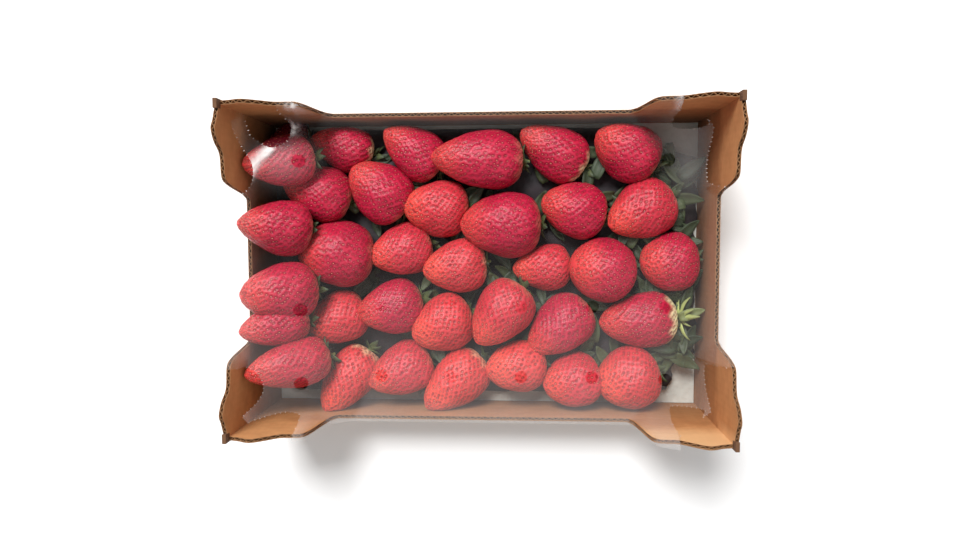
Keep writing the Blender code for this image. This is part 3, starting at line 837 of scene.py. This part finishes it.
for place in range(LOOSE_LEAVES):
    at_right = place < LEAVES_AT_RIGHT
    low_x, high_x, low_y, high_y = AT_RIGHT if at_right else ANYWHERE
    x, y = draw.uniform(low_x, high_x), draw.uniform(low_y, high_y)
    # The liner stays bare in the right-hand corners
    if at_right and (x > 124 and y > 64 or x > 121 and y < -62):
        continue
    rolled = Matrix.Rotation(math.radians(draw.uniform(-25, 25)), 4, "X")
    tipped = Matrix.Rotation(math.radians(draw.uniform(-12, 25)), 4, "Y")
    lies = Matrix.Translation((x * MM, y * MM, draw.uniform(17, 24) * MM))
    heading = Matrix.Rotation(draw.uniform(0, 2 * math.pi), 4, "Z")
    placed = lies @ heading @ rolled @ tipped @ Matrix.Scale(draw.uniform(0.8, 1.3), 4)
    pale = draw.uniform(0.0, 0.07)
    cap_pieces.append(leaf_copy(placed, pale, pale))
big_leaf = Matrix.Translation((131 * MM, -34 * MM, 27 * MM)) @ Matrix.Rotation(0.35, 4, "Z")
cap_pieces.append(leaf_copy(big_leaf, 0.25, 0.2))
bpy.data.objects.remove(leaf)
finish(join(cap_pieces, "strawberry_caps"), "strawberry_skin", "strawberries")

# %% [markdown]
# ## What lies under the layer
# Between the berries the tray shows dark: more fruit and leaves in deep shade. A lumpy block in dark
# greens and reds stands for it. It is a cube, cut finely and pushed into lumps by its points, higher
# at the left, where the fruit lies over the wall, and short of the right-hand corners.

# %% Dark fill under the fruit
FILL_LOW_X, FILL_HIGH_X, FILL_LOW_Y, FILL_HIGH_Y = -144 * MM, 145 * MM, -89 * MM, 94 * MM
FILL_HEIGHT, FILL_LEFT_RISE, FILL_CUTS = 9 * MM, 10 * MM, 44

bpy.ops.object.select_all(action="DESELECT")
bpy.ops.mesh.primitive_cube_add(size=2)
fill = bpy.context.object
with edit_mode(fill):
    bpy.ops.mesh.subdivide(number_cuts=FILL_CUTS)
flat = points_of(fill)
y = FILL_LOW_Y + (flat[:, 1] + 1) / 2 * (FILL_HIGH_Y - FILL_LOW_Y)
corner_gaps = 32 * MM * smooth_step(72 * MM, 84 * MM, y) + 14 * MM * smooth_step(-60 * MM, -72 * MM, y)
high_x = FILL_HIGH_X - corner_gaps + 1.6 * MM * ripple(y, 0 * y, 16 * MM, 12)
x = FILL_LOW_X + (flat[:, 0] + 1) / 2 * (high_x - FILL_LOW_X)
rounded = 1 - 0.03 * np.abs(flat[:, 0]) ** 6 * np.abs(flat[:, 1]) ** 6
swell = FILL_HEIGHT + FILL_LEFT_RISE * smooth_step(-95 * MM, -125 * MM, x)
swell += 2.5 * MM * ripple(x, y, 26 * MM, 8) + 0.8 * MM * ripple(x, y, 7 * MM, 9)
swell *= 1 - 0.5 * np.maximum(np.abs(flat[:, 0]), np.abs(flat[:, 1])) ** 8
height = REST + (flat[:, 2] + 1) / 2 * swell
put_points(fill, np.stack([x * rounded, y * rounded, height], axis=1))
shady, tree = new_material("fruit and leaves in shade")
where = add_node(tree, "TexCoord").outputs["Object"]
patches = add_node(tree, "TexNoise", {"Vector": where, "Scale": 1 / (20 * MM), "Detail": 4.0})
shade = add_node(tree, "Mix", {"Factor": patches, MIX_A: "#2E1820", MIX_B: "#262C2E"}, data_type="RGBA")
shader = add_node(tree, "BsdfPrincipled", {"Base Color": shade, "Roughness": 0.7})
add_node(tree, "OutputMaterial", {"Surface": shader})
fill.data.materials.append(shady)
bpy.ops.object.shade_smooth()
finish(join([fill], "fill_under_fruit"), "strawberry_skin", "strawberries")

# %% [markdown]
# ## Clear film finish
# The film is polypropylene, blown thin and clear. The eye gets three things from it: what lies behind
# it, a faint milky haze that is thicker in some places, where painted glare and painted light are
# added too, and a mirror gleam where it slopes.

# %% Clear film


def film_finish():
    made, tree = new_material("clear polypropylene film")
    where = add_node(tree, "TexCoord").outputs["Object"]
    spread = add_node(tree, "SeparateXYZ", {"Vector": where})
    # Clouds of haze some centimetres across, thicker towards the near wall
    nearness = add_node(tree, "MapRange", {"Value": spread.outputs["Y"], "From Min": 30 * MM,
                                           "From Max": -100 * MM, "To Max": 0.064})
    clouds = add_node(tree, "TexNoise", {"Vector": where, "Scale": 1 / (60 * MM), "Detail": 2.0})
    haze = add_node(tree, "Math", {0: nearness, 1: clouds}, operation="MULTIPLY")
    through = add_node(tree, "BsdfTransparent", {"Color": (1, 1, 1, 1)})
    milk = add_node(tree, "BsdfDiffuse", {"Color": "#F4F0EE"})
    # The white of the marks on the film: whitening at the torn perforation, and painted glare and painted
    # light
    glare_and_whitening = add_node(tree, "Attribute", attribute_name="whitening_and_glare")
    milky = add_node(tree, "Math", {0: haze, 1: glare_and_whitening.outputs["Fac"]}, use_clamp=True)
    veil = add_node(tree, "MixShader", {0: milky, 1: through, 2: milk})
    gleam = add_node(tree, "BsdfAnisotropic", {"Color": (1, 1, 1, 1), "Roughness": 0.25})
    slope = add_node(tree, "LayerWeight", {"Blend": 0.35})
    steep = add_node(tree, "Math", {0: slope.outputs["Facing"], 1: 3.0}, operation="POWER")
    share = add_node(tree, "MapRange", {"Value": steep, "To Max": 0.09})
    both = add_node(tree, "MixShader", {0: share, 1: veil, 2: gleam})
    add_node(tree, "OutputMaterial", {"Surface": both})
    return made


# %% [markdown]
# ## Film
# The film is one clear sheet, stretched from rim to rim and lifted by the highest berries, with its
# edges pulled down outside the walls. At each corner it is cut open for the tall corner, and a tongue
# of it stands up inside. A grid takes the height that the rims and the berries' crests give, its
# border is drawn down as a skirt, and the sheet is thickened. Round punches and corner-shaped cutters
# are then taken out of it.

# %% Film shape
FILM_GAP, FILM_THICK, FILM_HEM = 0.5 * MM, 0.12 * MM, 10 * MM
CREST_RADIUS, CREST_CLEAR, CREST_SOFT = 70 * MM, 0.9 * MM, 0.6 * MM
FILM_COLUMNS, FILM_ROWS, SKIRT_ROWS = 190, 128, 5
HOLE_WIDE, HOLE_FIRST, HOLE_PITCH = 8.2 * MM, (-111 * MM, 68 * MM), (45.8 * MM, 46.3 * MM)
HOLE_COLUMNS, HOLE_ROWS = 6, 4
OPENING_LOW, OPENING_TALL = 38 * MM, 90 * MM
# Each opening's plan: millimetres from the corner, along the long wall and along the end wall.
# Keys are the corner's sides in X and Y. The inner edge runs along both arms, with a tongue between.
LONG_ARMS = {
    (1, 1): [(20, -6), (25, 0), (30, 5), (33, 9), (28, 13), (17, 14.2), (11, 12.5)],
    (1, -1): [(20, -6), (26, 0), (30, 4), (32, 9), (28, 13), (17, 14.2), (10, 13.6)],
    (-1, -1): [(22, -6), (35, 0), (39, 3), (37, 8), (30, 11), (21, 10.5), (12, 8.5)],
    (-1, 1): [(26, -6), (31, 3), (34, 8), (34, 17), (30, 22), (22, 24), (13, 18)],
}
END_ARMS = {
    (1, 1): [(8.3, 22), (9, 30), (9, 40), (8, 47), (3, 50), (-6, 50)],
    (1, -1): [(8, 20), (8.6, 28), (8.4, 38), (6, 43), (1, 45), (-6, 45)],
    (-1, -1): [(8, 13), (14, 19), (17, 27), (14, 36), (5, 41), (-6, 42)],
    (-1, 1): [(8, 26), (11.5, 34), (11.5, 43), (7, 51), (0, 54), (-6, 54)],
}
TONGUE_TIPS = {
    (1, 1): [(12, 9), (8, 14)],
    (1, -1): [(12, 9), (7, 13)],
    (-1, -1): [(10, 7), (7, 11)],
    (-1, 1): [(10, 3), (3, 10)],
}
TONGUE_RISE, TONGUE_START, TONGUE_END = 14 * MM, 24 * MM, 6 * MM
# How far each opening's two arms go from its corner
ARM_REACHES = {side: (max(long_arm)[0], max(along for _, along in END_ARMS[side]))
               for side, long_arm in LONG_ARMS.items()}
DRAPE_GAP, DRAPE_SLOPE, DRAPE_ONSET, DRAPE_DROP = 0.9 * MM, 3.2, 9 * MM, 45 * MM
BULGE = 5 * MM


def reach_of_arms(x, y, which):
    """How far the opening nearest to each place goes, along the long wall for 0 and the end wall for 1."""
    places = [((x > 0) == (side_x > 0)) & ((y > 0) == (side_y > 0)) for side_x, side_y in ARM_REACHES]
    return np.select(places, [reach[which] * MM for reach in ARM_REACHES.values()])


def drape(along, across, reach, ear, rim):
    """Height of film that hangs inwards from a wall's top, past the opening's end."""
    top = wall_top(np.maximum(along, 0), ear, rim) + DRAPE_GAP
    unheld = DRAPE_DROP * smooth_step(reach, reach - DRAPE_ONSET, along)
    return top - unheld - DRAPE_SLOPE * np.maximum(across - BOARD - 0.6 * MM, 0)


def film_height(x, y):
    """Height of the film over a place: level with the rims, lifted by berries and by the tall corners."""
    rim = LONG_RIM + FILM_GAP + (END_RIM - LONG_RIM) * smooth_step(90 * MM, 138 * MM, np.abs(x))
    from_end, from_side = TRAY_LENGTH / 2 - np.abs(x), TRAY_WIDTH / 2 - np.abs(y)
    lifts = [rim, drape(from_end, from_side, reach_of_arms(x, y, 0), LONG_WALL_EAR, LONG_RIM),
             drape(from_side, from_end, reach_of_arms(x, y, 1), END_WALL_EAR, END_RIM)]
    for crest in crests:
        away = (x - crest[0]) ** 2 + (y - crest[1]) ** 2
        lifts.append(crest[2] + CREST_CLEAR - away / (2 * CREST_RADIUS))
    lifts = np.stack(lifts)
    highest = lifts.max(axis=0)
    height = highest + CREST_SOFT * np.log(np.exp((lifts - highest) / CREST_SOFT).sum(axis=0))
    height += TONGUE_RISE * smooth_step(TONGUE_START, TONGUE_END, (from_end + from_side) / 2)
    return height + 0.12 * MM * ripple(x, y, 9 * MM, 21) + 0.05 * MM * ripple(x, y, 3 * MM, 22)


def left_bulge(y):
    """How far the film stands out over the left rim, where tips of berries lie on it."""
    return BULGE * smooth_step(-62 * MM, -46 * MM, y) * smooth_step(50 * MM, 36 * MM, y)


half_x = TRAY_LENGTH / 2 + FILM_GAP
half_y = TRAY_WIDTH / 2 + END_WALL_PROUD + FILM_GAP
film = grid("stretched_film", FILM_COLUMNS, FILM_ROWS)
film.data.materials.append(film_finish())
with edit_mode(film):
    bpy.ops.mesh.region_to_loop()
    for _ in range(SKIRT_ROWS):
        bpy.ops.mesh.extrude_region_move(TRANSFORM_OT_translate={"value": (0, 0, -1)})
flat = points_of(film)
x, y = flat[:, 0] * half_x, flat[:, 1] * half_y
drop = -flat[:, 2] / SKIRT_ROWS
top = film_height(x, y)
hem = FILM_HEM + 1.2 * MM * ripple(x, y, 40 * MM, 31)
z = top + (hem - top) * drop
# Near the walls the film leans outwards with them
x = x + np.sign(x) * lean(z) * smooth_step(0.93, 1.0, np.abs(flat[:, 0]))
y = y + np.sign(y) * lean(z) * smooth_step(0.90, 1.0, np.abs(flat[:, 1]))
at_left = (flat[:, 0] < -0.999) * (1 - drop)
x = x - at_left * left_bulge(y)
put_points(film, np.stack([x, y, z], axis=1))
with edit_mode(film):
    bpy.ops.mesh.normals_make_consistent(inside=False)
thicken(film, FILM_THICK)
print("film:", len(film.data.polygons), "faces before it is punched")

# %% Punches and corner openings
punches = []
for column in range(HOLE_COLUMNS):
    for line in range(HOLE_ROWS):
        bpy.ops.object.select_all(action="DESELECT")
        spot = (HOLE_FIRST[0] + column * HOLE_PITCH[0], HOLE_FIRST[1] - line * HOLE_PITCH[1], 70 * MM)
        bpy.ops.mesh.primitive_cylinder_add(vertices=28, radius=HOLE_WIDE / 2, depth=100 * MM, location=spot)
        punches.append(bpy.context.object)


def opening_plan(side):
    """Corners of one opening's plan. Its inner edge, which comes back as well, is a smooth curve."""
    long_arm, end_arm = LONG_ARMS[side], END_ARMS[side]
    inner = curve_points(long_arm, 4).tolist() + TONGUE_TIPS[side] + curve_points(end_arm, 4).tolist()
    half = np.array([TRAY_LENGTH / 2, TRAY_WIDTH / 2])
    return side * (half - np.array([(-6, -6)] + inner) * MM), side * (half - np.array(inner) * MM)


inner_edges = []
for side_x, side_y in ((-1, -1), (1, -1), (1, 1), (-1, 1)):
    plan, inner_edge = opening_plan((side_x, side_y))
    inner_edges.append(inner_edge)
    bpy.ops.object.select_all(action="DESELECT")
    bpy.ops.mesh.primitive_circle_add(vertices=len(plan), radius=1, fill_type="NGON")
    cutter = bpy.context.object
    put_points(cutter, [(px, py, OPENING_LOW) for px, py in plan])
    with edit_mode(cutter):
        bpy.ops.mesh.extrude_region_move(TRANSFORM_OT_translate={"value": (0, 0, OPENING_TALL)})
        bpy.ops.mesh.select_all(action="SELECT")
        bpy.ops.mesh.normals_make_consistent(inside=False)
    punches.append(cutter)
punch = join(punches, "punches")
only(punch)
bpy.ops.object.transform_apply(location=True, rotation=True, scale=True)
cut = film.modifiers.new("Punched", "BOOLEAN")
cut.operation = "DIFFERENCE"
cut.object = punch
cut.solver = "MANIFOLD"
apply_modifiers(film)
bpy.data.objects.remove(punch)
print("film:", len(film.data.polygons), "faces after it is punched")

# %% [markdown]
# ## Painted glare, whitened film, ticks and flap
# Where such film is stretched past its limit or torn along its perforation, it turns white. Each point
# of the mesh carries a number for white in the film's finish: a painted glare streak and soft spots of
# painted glare and painted light in the far left and right-hand corners, painted highlights on bunched
# film, a weak whitening along the walls, and a whitening in between on the ticks that the perforation
# leaves. A torn flap of film stands outside the left wall.

# %% Whitening and painted glare of the film
# A painted glare streak in the far left corner, from one end to the other
GLARE_STREAK = np.array([(-142.5, 61.5), (-127, 76)]) * MM
GLARE_STREAK_WIDE = 3.0 * MM
WALL_HAZE, WALL_HAZE_REACH = 0.014, 16 * MM
# Soft spots of white, and bunches in the film: x, y, size in X and Y, strength. The first spot is painted
# glare in the far left corner; the next two are haze and painted light over the shaded right-hand
# corner; the last is a faint haze along the near wall. The bunches are crumpled, with painted highlights.
GLARE_AND_HAZE_SPOTS = [(-121, 68, 17, 12, 0.045), (131, 66, 11, 22, 0.045), (128, 86, 18, 10, 0.05),
         (0, -97, 170, 8, 0.02)]
BUNCHES = [(-114, 88, 2.8, 2.8, 1), (-108, 99, 3.5, 3.5, 1), (119, 98, 3.5, 3.5, 1)]


def soft_spots(spots, flat):
    """How strongly soft oval spots cover each place."""
    total = 0.0
    for x, y, wide, high, amount in spots:
        away = ((flat / MM - (x, y)) / (wide, high)) ** 2
        total = total + amount * np.exp(-away.sum(axis=1))
    return total


places = points_of(film)
flat = places[:, :2]
# Painted glare: a soft white streak along the line above, strongest at its two ends
run = GLARE_STREAK[1] - GLARE_STREAK[0]
share = np.clip((flat - GLARE_STREAK[0]) @ run / (run @ run), 0, 1)
away = np.linalg.norm(flat - GLARE_STREAK[0] - share[:, None] * run, axis=1)
uneven = 1 + 0.25 * ripple(flat[:, 0], flat[:, 1], 3.5 * MM, 43)
strength = (0.72 + 0.25 * np.cos(2 * math.pi * share)) * uneven
white = strength * np.exp(-(away / (GLARE_STREAK_WIDE * (1.2 - 0.6 * share))) ** 2) + soft_spots(GLARE_AND_HAZE_SPOTS, flat)
bunch = soft_spots(BUNCHES, flat)
# Painted highlights, mottled, on the bunched film
white += 0.6 * bunch * np.abs(ripple(flat[:, 0], flat[:, 1], 5 * MM, 41)).clip(0, 1)
to_wall = np.minimum(TRAY_LENGTH / 2 - np.abs(flat[:, 0]), TRAY_WIDTH / 2 - np.abs(flat[:, 1]))
white += WALL_HAZE * smooth_step(WALL_HAZE_REACH, 0.2 * WALL_HAZE_REACH, to_wall)
# The painted glare and the whitening lie on the sheet on top, hardly on the skirt
skirt = (np.abs(flat[:, 0]) > TRAY_LENGTH / 2 + 0.2 * MM) | (np.abs(flat[:, 1]) > TRAY_WIDTH / 2 + MM)
mark_points(film.data, "whitening_and_glare", white * np.where(skirt, 0.12, 1.0))
places[:, 2] += 1.2 * MM * bunch * ripple(flat[:, 0], flat[:, 1], 5 * MM, 42)
put_points(film, places)
print("strongly whitened points:", int((white > 0.3).sum()))

# %% Ticks along the openings
TICK_PITCH, TICK_LONG, TICK_WIDE = 2.6 * MM, 0.9 * MM, 0.3 * MM
FAR_WHITE, NEAR_WHITE = 0.5, 0.18
# The tongue's end, this near to the tray's corner, has none
TICK_FREE = 14 * MM

trimmings = []
for inner_edge in inner_edges:
    steps = np.linalg.norm(np.diff(inner_edge, axis=0), axis=1)
    reach = np.concatenate([[0], np.cumsum(steps)])
    for at in np.arange(TICK_PITCH, reach[-1], TICK_PITCH):
        px, py = [np.interp(at, reach, inner_edge[:, axis]) for axis in (0, 1)]
        next_x, next_y = [np.interp(at + MM, reach, inner_edge[:, axis]) for axis in (0, 1)]
        outside_walls = abs(px) > TRAY_LENGTH / 2 - BOARD or abs(py) > TRAY_WIDTH / 2 - BOARD
        if outside_walls or math.hypot(abs(px) - TRAY_LENGTH / 2, abs(py) - TRAY_WIDTH / 2) < TICK_FREE:
            continue
        bpy.ops.object.select_all(action="DESELECT")
        bpy.ops.mesh.primitive_cube_add(size=1, scale=(TICK_WIDE, TICK_LONG, FILM_THICK * 1.5))
        tick = bpy.context.object
        bpy.ops.object.transform_apply(location=True, rotation=True, scale=True)
        height = float(film_height(np.array([px]), np.array([py]))[0])
        heading = Matrix.Rotation(math.atan2(next_y - py, next_x - px), 4, "Z")
        tick.data.transform(Matrix.Translation((px, py, height)) @ heading)
        amount = draw.uniform(0.05, FAR_WHITE if py > 0 else NEAR_WHITE)
        mark_points(tick.data, "whitening_and_glare", np.full(len(tick.data.vertices), amount))
        trimmings.append(tick)
print("ticks:", len(trimmings))

# %% Torn flap outside the left wall
FLAP_FROM, FLAP_TO, FLAP_LOW, FLAP_HIGH, FLAP_OFF = 40 * MM, 78 * MM, 36 * MM, 84 * MM, 4.5 * MM

flap = grid("flap", 24, 8)
flat = points_of(flap)
along, up = (flat[:, 0] + 1) / 2, (flat[:, 1] + 1) / 2
# Its upper edge is ragged, and it curls outwards towards that edge
ragged = np.sin(np.pi * along) ** 0.5 * (1 + 0.15 * ripple(along, 0 * along, 0.2, 51))
off = FLAP_OFF * (0.15 + up ** 2) + 0.5 * MM * ripple(along * 20, up * 4, 4.0, 52)
x = -TRAY_LENGTH / 2 - FILM_GAP - np.maximum(off, 0.1 * MM)
y = FLAP_FROM + (FLAP_TO - FLAP_FROM) * along
put_points(flap, np.stack([x, y, FLAP_LOW + (FLAP_HIGH - FLAP_LOW) * up * ragged], axis=1))
thicken(flap, FILM_THICK)
places = points_of(flap)
streaks = np.abs(ripple(places[:, 1], places[:, 2] / 3, 9 * MM, 51)).clip(0, 1)
mark_points(flap.data, "whitening_and_glare", 0.02 + 0.07 * streaks)
trimmings.append(flap)
for trimming in trimmings:
    trimming.data.materials.append(film.data.materials[0])
film = join([film] + trimmings, "stretched_film")
only(film)
bpy.ops.object.shade_smooth_by_angle(angle=math.radians(40))
finish(film, "clear_film", "film")

# %% Scene brought up to date
bpy.context.view_layer.update()
